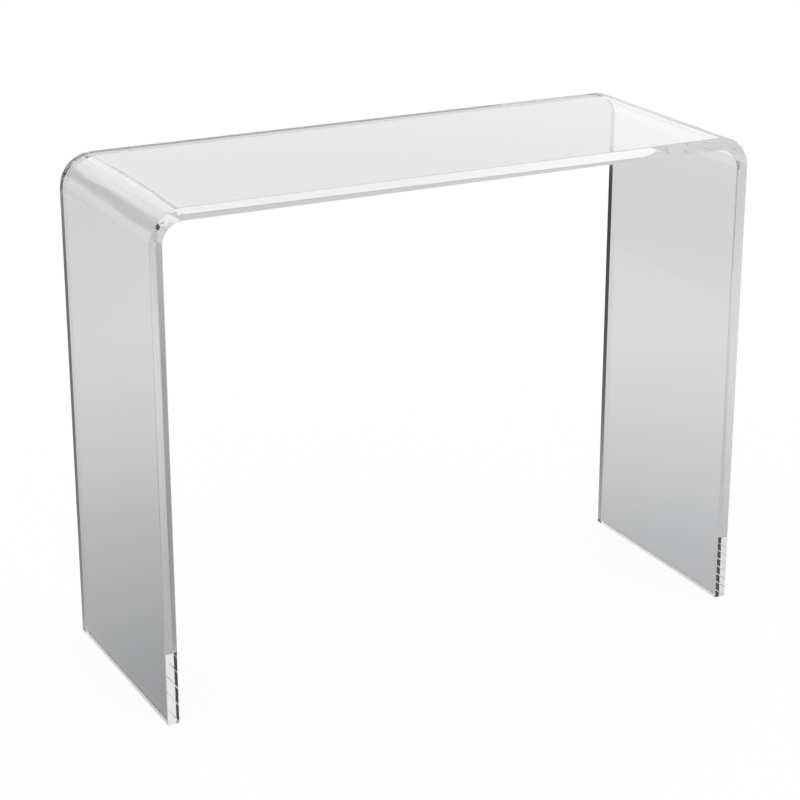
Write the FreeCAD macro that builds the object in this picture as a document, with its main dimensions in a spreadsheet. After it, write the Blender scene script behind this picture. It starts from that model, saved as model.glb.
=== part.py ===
import FreeCAD, Part
import enum
import math
import os
import Sketcher

# Waterfall console table: one clear acrylic sheet, heat-bent twice into a top and two legs.
# It stands on four clear bumper discs, stuck under the ends of the legs.
# Millimetres, +Z up, front towards -Y. The origin is on the floor, under the middle of the top.

# Driving dimensions: name, size and what it is
SIZES = (
    ("table_width", 965.0, "over the outer faces of the two legs"),
    ("table_depth", 355.0, "front edge to back edge of the sheet"),
    ("table_height", 762.0, "floor to the top surface"),
    ("sheet_thickness", 19.0, "the same all along the bent sheet"),
    ("inner_bend_radius", 32.0, "on the hollow side of each bend"),
    ("edge_radius", 1.0, "rounding that the flame polishing leaves on every edge"),
    ("bumper_diameter", 12.0, "disc under the end of a leg"),
    ("bumper_height", 1.6, "gap that the discs leave under the legs"),
    ("bumper_rim_radius", 0.9, "rounding of the disc's lower rim"),
    ("bumper_inset", 32.0, "front or back edge of the sheet to the middle of a disc"),
)


class Spot(enum.IntEnum):
    """Points of a sketch element, in the sketcher's numbering."""

    START = 1
    END = 2
    CENTRE = 3


class Fixed(enum.IntEnum):
    """Elements that every sketch has, in the sketcher's numbering. The origin is a start point."""

    ORIGIN = -1
    VERTICAL_AXIS = -2


START, END, CENTRE = Spot
ORIGIN, VERTICAL_AXIS = Fixed

# Which way each bumper lies from the middle of the table
BUMPERS = {
    "front_left_bumper": (-1, -1),
    "front_right_bumper": (1, -1),
    "rear_left_bumper": (-1, 1),
    "rear_right_bumper": (1, 1),
}

# Lengths that differ by less than this are the same
TOUCH = 1e-6


def point(x, y):
    """A point of a sketch."""
    return FreeCAD.Vector(x, y, 0)


def line(x0, y0, x1, y1):
    """A straight sketch element between two points."""
    return Part.LineSegment(point(x0, y0), point(x1, y1))


def quarter(x, y, radius, turns):
    """A quarter circle about a point, starting that many quarter turns from the sketch's X axis."""
    circle = Part.Circle(point(x, y), FreeCAD.Vector(0, 0, 1), radius)
    return Part.ArcOfCircle(circle, turns * math.pi / 2, (turns + 1) * math.pi / 2)


def make_sizes(doc):
    """The sheet of driving dimensions."""
    sizes = doc.addObject("Spreadsheet::Sheet", "Sizes")
    for row, (name, size, note) in enumerate(SIZES, start=1):
        sizes.set(f"A{row}", name)
        sizes.set(f"B{row}", str(size))
        sizes.set(f"C{row}", note)
        sizes.setAlias(f"B{row}", name)
    doc.recompute()
    return sizes


def upright_sketch(body, name):
    """An empty sketch on the body's XZ plane: X to the right, Y up."""
    sketch = body.newObject("Sketcher::SketchObject", name)
    plane = next(p for p in body.Origin.OriginFeatures if p.Role == "XZ_Plane")
    sketch.AttachmentSupport = [(plane, "")]
    sketch.MapMode = "FlatFace"
    return sketch


def size_constraint(sketch, name, size, kind, *place):
    """A dimension of a sketch that follows an expression in the driving dimensions."""
    value = sketch.evalExpression(size)
    index = sketch.addConstraint(Sketcher.Constraint(kind, *place, value))
    sketch.renameConstraint(index, name)
    sketch.setExpression(f"Constraints.{name}", size)


def draw_sheet_profile(sketch, sizes):
    """The sheet seen from the front: a band of one thickness, round two concentric bends."""
    side = sizes.table_width / 2
    inner_side = side - sizes.sheet_thickness
    foot = sizes.bumper_height
    top = sizes.table_height
    underside = top - sizes.sheet_thickness
    inner_radius = sizes.inner_bend_radius
    outer_radius = inner_radius + sizes.sheet_thickness
    bend_x = side - outer_radius
    bend_z = top - outer_radius

    outer_left, bend_left, upper, bend_right, outer_right = sketch.addGeometry([
        line(-side, foot, -side, bend_z),
        quarter(-bend_x, bend_z, outer_radius, 1),
        line(-bend_x, top, bend_x, top),
        quarter(bend_x, bend_z, outer_radius, 0),
        line(side, bend_z, side, foot),
    ])
    foot_right, inner_right, hollow_right, lower, hollow_left, inner_left, foot_left = sketch.addGeometry([
        line(side, foot, inner_side, foot),
        line(inner_side, foot, inner_side, bend_z),
        quarter(bend_x, bend_z, inner_radius, 0),
        line(bend_x, underside, -bend_x, underside),
        quarter(-bend_x, bend_z, inner_radius, 1),
        line(-inner_side, bend_z, -inner_side, foot),
        line(-inner_side, foot, -side, foot),
    ])

    smooth_joins = (
        (outer_left, END, bend_left, END),
        (bend_left, START, upper, START),
        (upper, END, bend_right, END),
        (bend_right, START, outer_right, START),
        (inner_right, END, hollow_right, START),
        (hollow_right, END, lower, START),
        (lower, END, hollow_left, START),
        (hollow_left, END, inner_left, START),
    )
    square_joins = (
        (outer_right, END, foot_right, START),
        (foot_right, END, inner_right, START),
        (inner_left, END, foot_left, START),
        (foot_left, END, outer_left, START),
    )
    for join in smooth_joins:
        sketch.addConstraint(Sketcher.Constraint("Tangent", *join))
    for join in square_joins:
        sketch.addConstraint(Sketcher.Constraint("Coincident", *join))
    for upright in (outer_left, outer_right, inner_right, inner_left):
        sketch.addConstraint(Sketcher.Constraint("Vertical", upright))
    for level in (upper, lower, foot_right, foot_left):
        sketch.addConstraint(Sketcher.Constraint("Horizontal", level))
    for outer, hollow in ((bend_left, hollow_left), (bend_right, hollow_right)):
        sketch.addConstraint(Sketcher.Constraint("Coincident", outer, CENTRE, hollow, CENTRE))
    sketch.addConstraint(Sketcher.Constraint("Equal", bend_left, bend_right))
    mirrored = (outer_left, START, outer_right, END, VERTICAL_AXIS)
    sketch.addConstraint(Sketcher.Constraint("Symmetric", *mirrored))

    size_constraint(sketch, "width", "Sizes.table_width", "DistanceX", outer_left, START, outer_right, END)
    size_constraint(sketch, "height", "Sizes.table_height", "DistanceY", ORIGIN, START, upper, START)
    size_constraint(sketch, "foot_gap", "Sizes.bumper_height", "DistanceY", ORIGIN, START, outer_left, START)
    size_constraint(sketch, "thickness", "Sizes.sheet_thickness", "Distance", foot_left)
    size_constraint(sketch, "bend_radius", "Sizes.inner_bend_radius", "Radius", hollow_left)


def is_polished_edge(edge, sizes):
    """True on the outline of the front and back faces and across the ends of the legs."""
    first, last = (vertex.Point for vertex in edge.Vertexes)
    on_outline = abs(first.y - last.y) < TOUCH
    at_foot = max(first.z, last.z) < sizes.bumper_height + TOUCH
    return on_outline or at_foot


def make_sheet(doc, sizes):
    """The bent sheet, with every edge polished round."""
    body = doc.addObject("PartDesign::Body", "BentSheet")
    body.Label = "bent_acrylic_sheet"
    profile = upright_sketch(body, "SheetProfile")
    draw_sheet_profile(profile, sizes)
    pad = body.newObject("PartDesign::Pad", "SheetDepth")
    pad.Profile = profile
    pad.SideType = "Symmetric"
    pad.setExpression("Length", "Sizes.table_depth")
    doc.recompute()
    edges = enumerate(pad.Shape.Edges, start=1)
    polished = body.newObject("PartDesign::Fillet", "PolishedEdges")
    polished.Base = (pad, [f"Edge{number}" for number, edge in edges if is_polished_edge(edge, sizes)])
    polished.setExpression("Radius", "Sizes.edge_radius")
    return body


def draw_bumper_profile(sketch, sizes):
    """Half of a bumper's section: flat below for the floor, round at the rim, flat above for the leg."""
    radius = sizes.bumper_diameter / 2
    height = sizes.bumper_height
    rim = sizes.bumper_rim_radius
    sole, round_rim, side, seat, axis = sketch.addGeometry([
        line(0, 0, radius - rim, 0),
        quarter(radius - rim, rim, rim, 3),
        line(radius, rim, radius, height),
        line(radius, height, 0, height),
        line(0, height, 0, 0),
    ])
    for join in ((sole, END, round_rim, START), (round_rim, END, side, START)):
        sketch.addConstraint(Sketcher.Constraint("Tangent", *join))
    for join in ((side, END, seat, START), (seat, END, axis, START), (axis, END, sole, START)):
        sketch.addConstraint(Sketcher.Constraint("Coincident", *join))
    for level in (sole, seat):
        sketch.addConstraint(Sketcher.Constraint("Horizontal", level))
    for upright in (side, axis):
        sketch.addConstraint(Sketcher.Constraint("Vertical", upright))
    sketch.addConstraint(Sketcher.Constraint("Coincident", sole, START, ORIGIN, START))
    size_constraint(sketch, "radius", "Sizes.bumper_diameter / 2", "DistanceX", ORIGIN, START, side, END)
    size_constraint(sketch, "height", "Sizes.bumper_height", "DistanceY", ORIGIN, START, side, END)
    size_constraint(sketch, "rim", "Sizes.bumper_rim_radius", "Radius", round_rim)


def make_bumper(doc, sizes, label, across, along):
    """One clear disc, centred on the thickness of its leg and set in from the sheet's edge."""
    body = doc.addObject("PartDesign::Body", label.title().replace("_", ""))
    body.Label = label
    section = upright_sketch(body, f"{body.Name}Section")
    draw_bumper_profile(section, sizes)
    disc = body.newObject("PartDesign::Revolution", f"{body.Name}Disc")
    disc.Profile = section
    disc.ReferenceAxis = (section, ["V_Axis"])
    disc.Angle = 360
    body.setExpression("Placement.Base.x", f"{across} * (Sizes.table_width - Sizes.sheet_thickness) / 2")
    body.setExpression("Placement.Base.y", f"{along} * (Sizes.table_depth / 2 - Sizes.bumper_inset)")
    return body


def check(doc, bodies):
    """Stops the build if any object of the document failed or any piece is not one sound solid."""
    for item in doc.Objects:
        if {"Invalid", "Error"} & set(item.State):
            raise RuntimeError(f"{item.Label} failed: {item.State}")
    for body in bodies:
        shape = body.Shape
        if shape.isNull() or not shape.isValid() or len(shape.Solids) != 1:
            raise RuntimeError(f"{body.Label} is not one sound solid")


def main():
    doc = FreeCAD.newDocument("ConsoleTable")
    sizes = make_sizes(doc)
    bodies = [make_sheet(doc, sizes)]
    for label, (across, along) in BUMPERS.items():
        bodies.append(make_bumper(doc, sizes, label, across, along))
    doc.recompute()
    check(doc, bodies)
    os.makedirs("parts", exist_ok=True)
    for body in bodies:
        body.Shape.exportStep(f"parts/{body.Label}.step")
        print(body.Label, "volume", round(body.Shape.Volume), "mm3")


main()
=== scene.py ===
from collections import namedtuple
import math

import bpy
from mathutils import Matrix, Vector


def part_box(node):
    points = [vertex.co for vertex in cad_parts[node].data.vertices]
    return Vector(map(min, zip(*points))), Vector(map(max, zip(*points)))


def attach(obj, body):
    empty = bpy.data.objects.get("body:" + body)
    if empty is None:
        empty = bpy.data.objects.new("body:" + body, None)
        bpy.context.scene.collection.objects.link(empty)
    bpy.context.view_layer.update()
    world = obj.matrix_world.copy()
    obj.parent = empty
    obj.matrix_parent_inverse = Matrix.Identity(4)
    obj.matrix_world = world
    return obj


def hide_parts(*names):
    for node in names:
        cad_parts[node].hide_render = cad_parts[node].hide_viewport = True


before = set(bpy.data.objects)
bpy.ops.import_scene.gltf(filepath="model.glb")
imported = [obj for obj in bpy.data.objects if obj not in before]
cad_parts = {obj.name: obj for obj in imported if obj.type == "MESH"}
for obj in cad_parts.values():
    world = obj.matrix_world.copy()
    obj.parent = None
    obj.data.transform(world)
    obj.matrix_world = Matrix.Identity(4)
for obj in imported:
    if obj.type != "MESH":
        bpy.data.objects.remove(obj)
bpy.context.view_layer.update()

# Waterfall console table of clear acrylic on a white studio floor. Metres, +Z up, front towards -Y.
QUARTER_TURN = math.pi / 2
WHITE = (1.0, 1.0, 1.0, 1.0)

# The bent sheet
SHEET_NODE = "bent_acrylic_sheet"
SHEET_THICKNESS = 0.019
INNER_BEND_RADIUS = 0.032
OUTER_BEND_RADIUS = INNER_BEND_RADIUS + SHEET_THICKNESS
EDGE_RADIUS = 0.001
BEND_STEPS = 64
EDGE_STEPS = 6
# A section of the sheet: its middle, the way out of the bend, the way out of the leg's end, and how far
# the rounding of that end has turned
Station = namedtuple("Station", "middle outward end_way turn")

# The bumper discs
BUMPER_NODES = ("front_left_bumper", "front_right_bumper", "rear_left_bumper", "rear_right_bumper")
BUMPER_RIM_RADIUS = 0.0009
BUMPER_SIDES = 48
BUMPER_RIM_STEPS = 6
# The glue between a disc and its leg, so that their faces don't lie in each other
GLUE_GAP = 0.00005

# Cast acrylic: a faint grey in its depth and a trace of haze in patches
ACRYLIC_IOR = 1.49
ACRYLIC_DEPTH_COLOUR = (0.92, 0.935, 0.93, 1.0)
ACRYLIC_DEPTH_DENSITY = 1.0
HAZE_PATCHES_PER_METRE = 9.0
HAZE_DETAIL = 4.0
HAZE_NOISE = (0.35, 0.75)
HAZE_ROUGHNESS = (0.0, 0.02)
# Faint ripples along the bends, where the sheet was heated
RIPPLES_PER_METRE = (80.0, 7.0, 80.0)
RIPPLE_SCALE = 1.0
RIPPLE_DETAIL = 1.0
RIPPLE_SEED = 2.0
RIPPLE_HEIGHT = 0.0009
RIPPLE_FADE = 0.012
NOISE_MIDDLE = 0.5

# Soft polyurethane, a little milky
POLYURETHANE_COLOUR = (0.88, 0.89, 0.88, 1.0)
POLYURETHANE_CLEAR_SHARE = 0.85
POLYURETHANE_IOR = 1.5
CLOUDS_PER_METRE = 600.0
CLOUD_DETAIL = 2.0
CLOUD_NOISE = (0.0, 1.0)
CLOUD_ROUGHNESS = (0.18, 0.35)

# The photograph's viewpoint
CAMERA_PLACE = (-1.5155, -2.9015, 1.5462)
CAMERA_YAW = math.radians(27.33)
CAMERA_PITCH = math.radians(19.91)
CAMERA_LENS_MM = 101.99
SENSOR_MM = 36.0
CAMERA_REACH = 100.0

# Painted shade on the floor, seen only in the acrylic: distance from its darkest place, and grey level there
FLOOR_HALF_SIZE = 9.0
PAINTED_SHADE_CENTRE = (-0.20, -0.20, 0.0)
NEAR_PAINTED_FLOOR_LEVELS = ((0.25, 0.35), (0.45, 0.43), (0.60, 0.46), (0.80, 0.515), (1.00, 0.585), (1.25, 0.645))
FAR_PAINTED_FLOOR_LEVELS = ((1.50, 0.685), (1.80, 0.71), (2.20, 0.69), (2.80, 0.665), (3.45, 0.695), (4.20, 0.75))
# Painted shade round the front of the table is a little cool: place from front to back, and share of the
# tint
COOL_TINT = (0.98, 1.0, 1.015, 1.0)
COOL_SHARES = ((-0.60, 0.0), (-0.40, 1.0), (0.12, 1.0), (0.28, 0.0))
# How much of the table's shadow shows on the white floor
SHADOW_SHARE = 0.08
# Painted shadow under the ends of the legs: share of the floor's level there, and how far it fades out
CONTACT_SHARE = 0.1
CONTACT_FADE = 0.0035

# Zones of painted shade and painted light on the floor that only one kind of light shows: that kind, then
# along an axis the place and the share of the grey level there. A share above 1 brightens. A zone with
# several axes has the highest share of them.
FAR_FRONT_SHARES = ((-3.60, 0.50), (-2.20, 0.13), (-1.80, 0.0), (-1.30, 0.0), (-0.80, 0.04))
NEAR_FRONT_SHARES = ((-0.50, 0.10), (-0.30, 0.17), (-0.10, 0.42), (0.08, 0.63), (0.35, 1.0))
FAR_RIGHT_SHARES = ((1.84, 0.0), (1.98, 0.85))
SIDE_SHARES = ((-1.30, 0.78), (-0.95, 0.48), (-0.66, 0.54), (-0.53, 0.67), (-0.482, 0.72), (-0.468, 1.0))
BACK_SHARES = ((1.60, 1.0), (2.40, 0.88))
BRIGHT_BACK_SHARES = ((1.20, 1.0), (2.00, 1.28))
PAINTED_FLOOR_SHADE_AND_LIGHT = (
    ("turned_little", {"X": FAR_RIGHT_SHARES, "Y": FAR_FRONT_SHARES + NEAR_FRONT_SHARES}),
    ("turned", {"X": SIDE_SHARES}),
    ("turned", {"Y": BACK_SHARES}),
    ("crossed_twice", {"Y": BRIGHT_BACK_SHARES}),
)
# Painted reflections: zones of darker studio walls that only the acrylic shows, in the same form. A place is
# part of the way to the right, back or up, from -1 to 1.
LOW_WALL = {"X": ((0.50, 0.0), (0.56, 0.92)), "Z": ((0.05, 0.72), (0.15, 1.0))}
HIGH_WALL = {"Z": ((0.25, 1.0), (0.45, 0.83))}
FRONT_WALL = {"Y": ((-0.50, 0.04), (-0.10, 1.0))}
# A painted dark panel, seen only in reflections
DARK_PANEL = {
    "X": ((-0.31, 0.03), (-0.18, 1.0)),
    "Y": ((0.45, 1.0), (0.55, 0.0)),
    "Z": ((0.06, 1.0), (0.10, 0.0)),
}
HIGH_RIGHT_WALL = {"X": ((0.38, 1.0), (0.50, 0.92), (0.56, 0.82)), "Z": ((0.26, 1.0), (0.30, 0.0))}
LOW_RIGHT_WALL = {"X": ((0.45, 0.915), (0.535, 1.0)), "Z": ((0.26, 0.0), (0.30, 1.0))}
PAINTED_WALL_ZONES = (
    ("in_acrylic", LOW_WALL),
    ("reflected", DARK_PANEL),
    ("turned", HIGH_WALL),
    ("turned", HIGH_RIGHT_WALL),
    ("turned", LOW_RIGHT_WALL),
    ("turned_little", FRONT_WALL),
)
# Light turned inside the sheet at most this often is turned little
FEW_TURNS = 2
# Surfaces that light crosses on its way through the sheet once
SHEET_SURFACES = 2
# Bounces are counted in whole numbers, so limits lie half a count beside them
HALF_COUNT = 0.5
# The Mix node's colour sockets, by number because its names repeat: share, two colours and the result
MIX_INPUTS = (0, 6, 7)
MIX_RESULT = 2
# Light runs the depth of the sheet, and along it, between its faces, so it needs many bounces
INNER_BOUNCES = 256


def add_piece(name, node, vertices, normals, faces, material):
    """A smooth mesh whose normals are the true surface's, in the place of a CAD node."""
    mesh = bpy.data.meshes.new(name)
    mesh.from_pydata(vertices, [], faces)
    mesh.polygons.foreach_set("use_smooth", [True] * len(mesh.polygons))
    mesh.normals_split_custom_set_from_vertices(normals)
    mesh.materials.append(material)
    mesh.validate()
    piece = bpy.data.objects.new(name, mesh)
    bpy.context.scene.collection.objects.link(piece)
    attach(piece, "root")
    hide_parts(node)


def joined_face(corners):
    """A face with repeated corners left out, or None if too few are left."""
    kept = [c for i, c in enumerate(corners) if c != corners[i - 1]]
    return kept if len(kept) > 2 else None


def end_stations(side, low, high):
    """Sections round the end of a leg, from its foot up."""
    stations = []
    for step in range(EDGE_STEPS, -1, -1):
        turn = QUARTER_TURN * step / EDGE_STEPS
        height = low.z + EDGE_RADIUS * (1 - math.sin(turn))
        middle = Vector((side * (high.x - SHEET_THICKNESS / 2), 0, height))
        stations.append(Station(middle, Vector((side, 0, 0)), Vector((0, 0, -1)), turn))
    return stations


def bend_stations(side, first, last, high):
    """Sections round a bend, from one angle above level to another."""
    centre = Vector((side * (high.x - OUTER_BEND_RADIUS), 0, high.z - OUTER_BEND_RADIUS))
    stations = []
    for step in range(BEND_STEPS + 1):
        angle = first + (last - first) * step / BEND_STEPS
        outward = Vector((math.cos(angle), 0, math.sin(angle)))
        middle = centre + outward * (INNER_BEND_RADIUS + SHEET_THICKNESS / 2)
        stations.append(Station(middle, outward, Vector((0, 0, 0)), 0.0))
    return stations


def section_points(half_depth, turn):
    """The sheet's rounded section: places along its depth and thickness, then the normal along both."""
    radius = EDGE_RADIUS * math.cos(turn)
    depth_centre = half_depth - EDGE_RADIUS
    thick_centre = SHEET_THICKNESS / 2 - EDGE_RADIUS
    points = []
    for corner, (depth_sign, thick_sign) in enumerate(((1, 1), (-1, 1), (-1, -1), (1, -1))):
        for step in range(EDGE_STEPS + 1):
            angle = QUARTER_TURN * (corner + step / EDGE_STEPS)
            depth_way = math.cos(angle)
            thick_way = math.sin(angle)
            depth_place = depth_sign * depth_centre + radius * depth_way
            thick_place = thick_sign * thick_centre + radius * thick_way
            points.append((depth_place, thick_place, depth_way, thick_way))
    return points


def make_sheet(material):
    """The bent sheet, swept foot to foot, with every edge polished round."""
    low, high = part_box(SHEET_NODE)
    stations = end_stations(-1, low, high)
    stations += bend_stations(-1, 2 * QUARTER_TURN, QUARTER_TURN, high)
    stations += bend_stations(1, QUARTER_TURN, 0.0, high)
    stations += reversed(end_stations(1, low, high))
    vertices, normals, rings = [], [], []
    for station in stations:
        ring = []
        at_end = math.isclose(station.turn, QUARTER_TURN)
        section = section_points(high.y, station.turn)
        for index, (depth_place, thick_place, depth_way, thick_way) in enumerate(section):
            if at_end and index % (EDGE_STEPS + 1):
                ring.append(ring[-1])
                continue
            vertices.append(station.middle + station.outward * thick_place + Vector((0, depth_place, 0)))
            level = Vector((0, depth_way, 0)) + station.outward * thick_way
            end_share = station.end_way * math.sin(station.turn)
            normals.append((level * math.cos(station.turn) + end_share).normalized())
            ring.append(len(vertices) - 1)
        rings.append(ring)
    faces = []
    for ring, next_ring in zip(rings, rings[1:]):
        for index in range(len(ring)):
            face = joined_face([ring[index - 1], ring[index], next_ring[index], next_ring[index - 1]])
            if face:
                faces.append(face)
    faces.append(joined_face(rings[0][::-1]))
    faces.append(joined_face(rings[-1]))
    add_piece("clear_bent_sheet", SHEET_NODE, vertices, normals, faces, material)


def make_bumper(node, material):
    """A clear disc with a flat sole, a round lower rim and a flat glued face."""
    low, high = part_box(node)
    centre = (low + high) / 2
    radius = (high.x - low.x) / 2
    profile = []
    for step in range(BUMPER_RIM_STEPS + 1):
        angle = QUARTER_TURN * step / BUMPER_RIM_STEPS
        reach = radius - BUMPER_RIM_RADIUS + BUMPER_RIM_RADIUS * math.sin(angle)
        height = low.z + BUMPER_RIM_RADIUS * (1 - math.cos(angle))
        profile.append((reach, height, math.sin(angle), -math.cos(angle)))
    profile.append((radius, high.z - GLUE_GAP, 1.0, 0.0))
    vertices, normals, rings = [], [], []
    for reach, height, outward, upward in profile:
        ring = []
        for side in range(BUMPER_SIDES):
            angle = 2 * math.pi * side / BUMPER_SIDES
            way = Vector((math.cos(angle), math.sin(angle), 0))
            vertices.append(Vector((centre.x, centre.y, height)) + way * reach)
            normals.append(way * outward + Vector((0, 0, upward)))
            ring.append(len(vertices) - 1)
        rings.append(ring)
    glued = []
    for index in rings[-1]:
        vertices.append(vertices[index].copy())
        normals.append(Vector((0, 0, 1)))
        glued.append(len(vertices) - 1)
    faces = [rings[0][::-1], glued]
    for ring, next_ring in zip(rings, rings[1:]):
        for index in range(BUMPER_SIDES):
            faces.append([ring[index - 1], ring[index], next_ring[index], next_ring[index - 1]])
    add_piece(f"clear_{node}", node, vertices, normals, faces, material)


def node_material(name):
    """A new material with its node tree emptied but for the output."""
    material = bpy.data.materials.new(name)
    material.use_nodes = True
    tree = material.node_tree
    tree.nodes.clear()
    output = tree.nodes.new("ShaderNodeOutputMaterial")
    return material, tree, output


def feed(tree, socket, value):
    """Links a socket to an output, or sets it to a number, a colour or a vector."""
    if isinstance(value, bpy.types.NodeSocket):
        tree.links.new(value, socket)
    else:
        socket.default_value = value


def math_node(tree, operation, *values):
    """A Math node of outputs or numbers."""
    node = tree.nodes.new("ShaderNodeMath")
    node.operation = operation
    for socket, value in zip(node.inputs, values):
        feed(tree, socket, value)
    return node.outputs["Value"]


def axes_of(tree, vector):
    """The X, Y and Z outputs of a vector."""
    split = tree.nodes.new("ShaderNodeSeparateXYZ")
    feed(tree, split.inputs["Vector"], vector)
    return split.outputs


def graded(tree, value, stops):
    """A grey that follows a value through stops of place and level, and keeps the end levels beyond them."""
    first, last = stops[0][0], stops[-1][0]
    span = tree.nodes.new("ShaderNodeMapRange")
    feed(tree, span.inputs["Value"], value)
    feed(tree, span.inputs["From Min"], first)
    feed(tree, span.inputs["From Max"], last)
    ramp = tree.nodes.new("ShaderNodeValToRGB")
    elements = ramp.color_ramp.elements
    while len(elements) < len(stops):
        elements.new(1.0)
    for element, (place, level) in zip(elements, stops):
        element.position = (place - first) / (last - first)
        element.color = (level, level, level, 1.0)
    feed(tree, ramp.inputs["Fac"], span.outputs["Result"])
    return ramp.outputs["Color"]


def patchy(tree, place, per_metre, detail, noise_span, level_span):
    """A level that wanders over a surface in soft patches."""
    noise = tree.nodes.new("ShaderNodeTexNoise")
    feed(tree, noise.inputs["Vector"], place)
    feed(tree, noise.inputs["Scale"], per_metre)
    feed(tree, noise.inputs["Detail"], detail)
    span = tree.nodes.new("ShaderNodeMapRange")
    feed(tree, span.inputs["Value"], noise.outputs["Fac"])
    names = ("From Min", "From Max", "To Min", "To Max")
    for name, level in zip(names, noise_span + level_span):
        feed(tree, span.inputs[name], level)
    return span.outputs["Result"]


def bend_ripples(tree, place):
    """The normals of faint ripples that run along each bend and fade out beside it."""
    axes = axes_of(tree, place)
    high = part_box(SHEET_NODE)[1]
    heated = 1.0
    for reach, outside in ((math_node(tree, "ABSOLUTE", axes["X"]), high.x), (axes["Z"], high.z)):
        bend = outside - OUTER_BEND_RADIUS
        fade = ((bend - RIPPLE_FADE, 0.0), (bend + RIPPLE_FADE, 1.0))
        heated = math_node(tree, "MULTIPLY", heated, graded(tree, reach, fade))
    stretch = tree.nodes.new("ShaderNodeVectorMath")
    stretch.operation = "MULTIPLY"
    feed(tree, stretch.inputs[0], place)
    feed(tree, stretch.inputs[1], RIPPLES_PER_METRE)
    noise = tree.nodes.new("ShaderNodeTexNoise")
    noise.noise_dimensions = "4D"
    feed(tree, noise.inputs["Vector"], stretch.outputs["Vector"])
    feed(tree, noise.inputs["W"], RIPPLE_SEED)
    feed(tree, noise.inputs["Scale"], RIPPLE_SCALE)
    feed(tree, noise.inputs["Detail"], RIPPLE_DETAIL)
    waves = math_node(tree, "SUBTRACT", noise.outputs["Fac"], NOISE_MIDDLE)
    bump = tree.nodes.new("ShaderNodeBump")
    feed(tree, bump.inputs["Distance"], RIPPLE_HEIGHT)
    feed(tree, bump.inputs["Height"], math_node(tree, "MULTIPLY", waves, heated))
    return bump.outputs["Normal"]


def acrylic_material():
    """Clear cast acrylic, polished, with haze, ripples in the bends and a faint grey in its depth."""
    material, tree, output = node_material("clear_cast_acrylic")
    place = tree.nodes.new("ShaderNodeTexCoord").outputs["Object"]
    shader = tree.nodes.new("ShaderNodeBsdfPrincipled")
    feed(tree, shader.inputs["Base Color"], WHITE)
    feed(tree, shader.inputs["Transmission Weight"], 1.0)
    feed(tree, shader.inputs["IOR"], ACRYLIC_IOR)
    haze = patchy(tree, place, HAZE_PATCHES_PER_METRE, HAZE_DETAIL, HAZE_NOISE, HAZE_ROUGHNESS)
    feed(tree, shader.inputs["Roughness"], haze)
    feed(tree, shader.inputs["Normal"], bend_ripples(tree, place))
    depth = tree.nodes.new("ShaderNodeVolumeAbsorption")
    feed(tree, depth.inputs["Color"], ACRYLIC_DEPTH_COLOUR)
    feed(tree, depth.inputs["Density"], ACRYLIC_DEPTH_DENSITY)
    feed(tree, output.inputs["Surface"], shader.outputs["BSDF"])
    feed(tree, output.inputs["Volume"], depth.outputs["Volume"])
    return material


def polyurethane_material():
    """Soft clear polyurethane, a little milky."""
    material, tree, output = node_material("clear_polyurethane")
    place = tree.nodes.new("ShaderNodeTexCoord").outputs["Object"]
    shader = tree.nodes.new("ShaderNodeBsdfPrincipled")
    feed(tree, shader.inputs["Base Color"], POLYURETHANE_COLOUR)
    feed(tree, shader.inputs["Transmission Weight"], POLYURETHANE_CLEAR_SHARE)
    feed(tree, shader.inputs["IOR"], POLYURETHANE_IOR)
    cloud = patchy(tree, place, CLOUDS_PER_METRE, CLOUD_DETAIL, CLOUD_NOISE, CLOUD_ROUGHNESS)
    feed(tree, shader.inputs["Roughness"], cloud)
    feed(tree, output.inputs["Surface"], shader.outputs["BSDF"])
    return material


def light_kinds(tree):
    """Shares that are 1 for one kind of light and 0 for the rest, by name.

    Turned light was both let through and reflected, as inside the sheet.
    """
    path = tree.nodes.new("ShaderNodeLightPath").outputs
    turns = path["Glossy Depth"]
    crossings = path["Transmission Depth"]
    reflected = math_node(tree, "GREATER_THAN", turns, HALF_COUNT)
    entered = math_node(tree, "GREATER_THAN", crossings, HALF_COUNT)
    turned = math_node(tree, "MULTIPLY", reflected, entered)
    few_turns = math_node(tree, "LESS_THAN", turns, FEW_TURNS + HALF_COUNT)
    crossed_twice = math_node(tree, "GREATER_THAN", crossings, 2 * SHEET_SURFACES - HALF_COUNT)
    return {
        "straight": path["Is Camera Ray"],
        "in_acrylic": math_node(tree, "MAXIMUM", path["Is Glossy Ray"], path["Is Transmission Ray"]),
        "reflected": reflected,
        "turned": turned,
        "turned_little": math_node(tree, "MULTIPLY", turned, few_turns),
        "crossed_twice": crossed_twice,
    }


def shaded(tree, share, tone, factor):
    """A tone times a factor, for a share of the light."""
    mix = tree.nodes.new("ShaderNodeMix")
    mix.data_type = "RGBA"
    mix.blend_type = "MULTIPLY"
    for number, value in zip(MIX_INPUTS, (share, tone, factor)):
        feed(tree, mix.inputs[number], value)
    return mix.outputs[MIX_RESULT]


def zoned(tree, kinds, axes, zones, tone):
    """A tone, shaded by each zone for the zone's kind of light."""
    for kind, shares in zones:
        level = 0.0
        for axis, stops in shares.items():
            level = math_node(tree, "MAXIMUM", level, graded(tree, axes[axis], stops))
        tone = shaded(tree, kinds[kind], tone, level)
    return tone


def mixed_shader(tree, share, first, second):
    """The first shader, or the second where the share is 1."""
    mix = tree.nodes.new("ShaderNodeMixShader")
    for socket, value in zip(mix.inputs, (share, first, second)):
        feed(tree, socket, value)
    return mix.outputs["Shader"]


def glow(tree, colour):
    """Light of a colour from the surface itself, at a strength of 1."""
    emission = tree.nodes.new("ShaderNodeEmission")
    feed(tree, emission.inputs["Color"], colour)
    return emission.outputs["Emission"]


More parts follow.
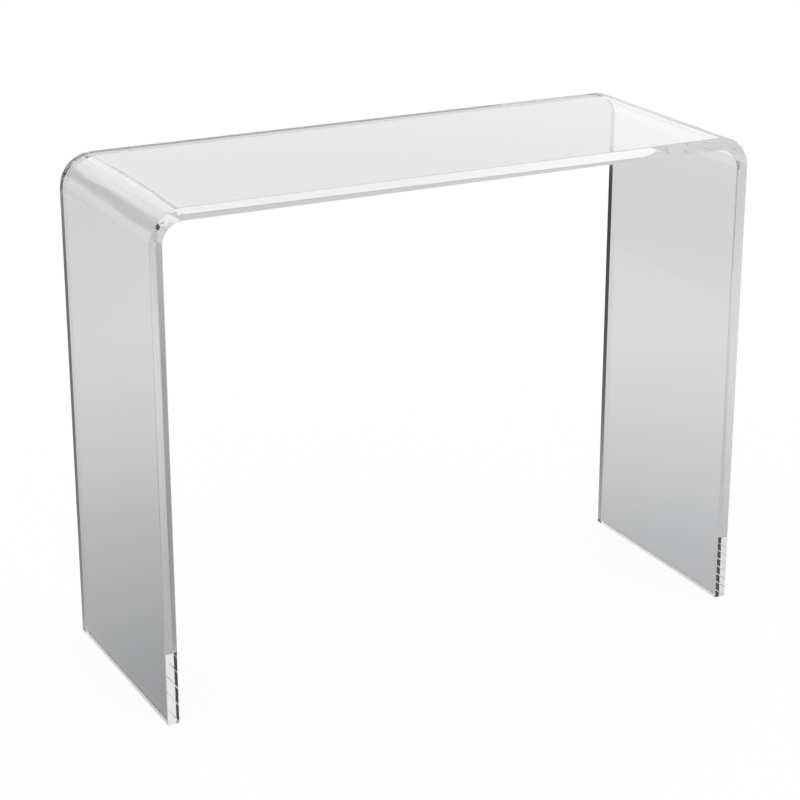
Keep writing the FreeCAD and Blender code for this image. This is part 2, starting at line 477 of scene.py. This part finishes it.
def painted_contact_shadow(tree, axes):
    """Painted shadow: share of the floor's level left, little under the legs' ends, all of it elsewhere."""
    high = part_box(SHEET_NODE)[1]
    inner = high.x - SHEET_THICKNESS
    inner_fade = ((inner - CONTACT_FADE, 1.0), (inner, CONTACT_SHARE))
    outer_fade = ((high.x, CONTACT_SHARE), (high.x + CONTACT_FADE, 1.0))
    end_fade = ((high.y, CONTACT_SHARE), (high.y + CONTACT_FADE, 1.0))
    across = graded(tree, math_node(tree, "ABSOLUTE", axes["X"]), inner_fade + outer_fade)
    along = graded(tree, math_node(tree, "ABSOLUTE", axes["Y"]), end_fade)
    return math_node(tree, "MAXIMUM", across, along)


def floor_material():
    """White to the camera, with the table's shadow. The acrylic sees painted shade and light that glow from
    the floor.
    """
    material, tree, output = node_material("studio_floor")
    kinds = light_kinds(tree)
    place = tree.nodes.new("ShaderNodeTexCoord").outputs["Object"]
    axes = axes_of(tree, place)
    distance = tree.nodes.new("ShaderNodeVectorMath")
    distance.operation = "DISTANCE"
    feed(tree, distance.inputs[0], place)
    feed(tree, distance.inputs[1], PAINTED_SHADE_CENTRE)
    # Painted shade: grey levels glowing from the floor, darkest near the table, seen only in the acrylic
    tone = graded(tree, distance.outputs["Value"], NEAR_PAINTED_FLOOR_LEVELS + FAR_PAINTED_FLOOR_LEVELS)
    tone = shaded(tree, graded(tree, axes["Y"], COOL_SHARES), tone, COOL_TINT)
    # Painted shade and painted light by zone, each for its kind of light
    tone = zoned(tree, kinds, axes, PAINTED_FLOOR_SHADE_AND_LIGHT, tone)
    # Painted shadow under the legs' ends
    tone = shaded(tree, 1.0, tone, painted_contact_shadow(tree, axes))
    painted_floor_light = glow(tree, tone)

    white = glow(tree, WHITE)
    diffuse = tree.nodes.new("ShaderNodeBsdfDiffuse")
    feed(tree, diffuse.inputs["Color"], WHITE)
    paper = diffuse.outputs["BSDF"]
    shadowed = mixed_shader(tree, SHADOW_SHARE, white, paper)
    unseen = mixed_shader(tree, kinds["in_acrylic"], paper, painted_floor_light)
    feed(tree, output.inputs["Surface"], mixed_shader(tree, kinds["straight"], unseen, shadowed))
    return material


def make_floor():
    """A wide plain floor under the table."""
    side = FLOOR_HALF_SIZE
    corners = [(-side, -side, 0), (side, -side, 0), (side, side, 0), (-side, side, 0)]
    mesh = bpy.data.meshes.new("studio_floor")
    mesh.from_pydata(corners, [], [(0, 1, 2, 3)])
    mesh.materials.append(floor_material())
    floor = bpy.data.objects.new("studio_floor", mesh)
    bpy.context.scene.collection.objects.link(floor)


def make_world():
    """A white studio all round, with darker walls painted only into what the acrylic shows."""
    world = bpy.data.worlds.new("white_studio")
    world.use_nodes = True
    tree = world.node_tree
    axes = axes_of(tree, tree.nodes.new("ShaderNodeTexCoord").outputs["Generated"])
    walls = zoned(tree, light_kinds(tree), axes, PAINTED_WALL_ZONES, WHITE)
    feed(tree, tree.nodes["Background"].inputs["Color"], walls)
    bpy.context.scene.world = world


def make_camera():
    """The camera at the photograph's viewpoint, level and unshifted."""
    data = bpy.data.cameras.new("photo_camera")
    data.lens = CAMERA_LENS_MM
    data.sensor_width = SENSOR_MM
    data.clip_end = CAMERA_REACH
    camera = bpy.data.objects.new("photo_camera", data)
    camera.location = CAMERA_PLACE
    camera.rotation_euler = (QUARTER_TURN - CAMERA_PITCH, 0.0, -CAMERA_YAW)
    bpy.context.scene.collection.objects.link(camera)
    bpy.context.scene.camera = camera


def set_view_and_bounces():
    """Plain view transform, and enough bounces for light that runs inside the sheet."""
    scene = bpy.context.scene
    scene.view_settings.view_transform = "Standard"
    scene.cycles.max_bounces = INNER_BOUNCES
    scene.cycles.glossy_bounces = INNER_BOUNCES
    scene.cycles.transmission_bounces = INNER_BOUNCES


def main():
    set_view_and_bounces()
    make_sheet(acrylic_material())
    clear_rubber = polyurethane_material()
    for node in BUMPER_NODES:
        make_bumper(node, clear_rubber)
    make_floor()
    make_world()
    make_camera()


main()
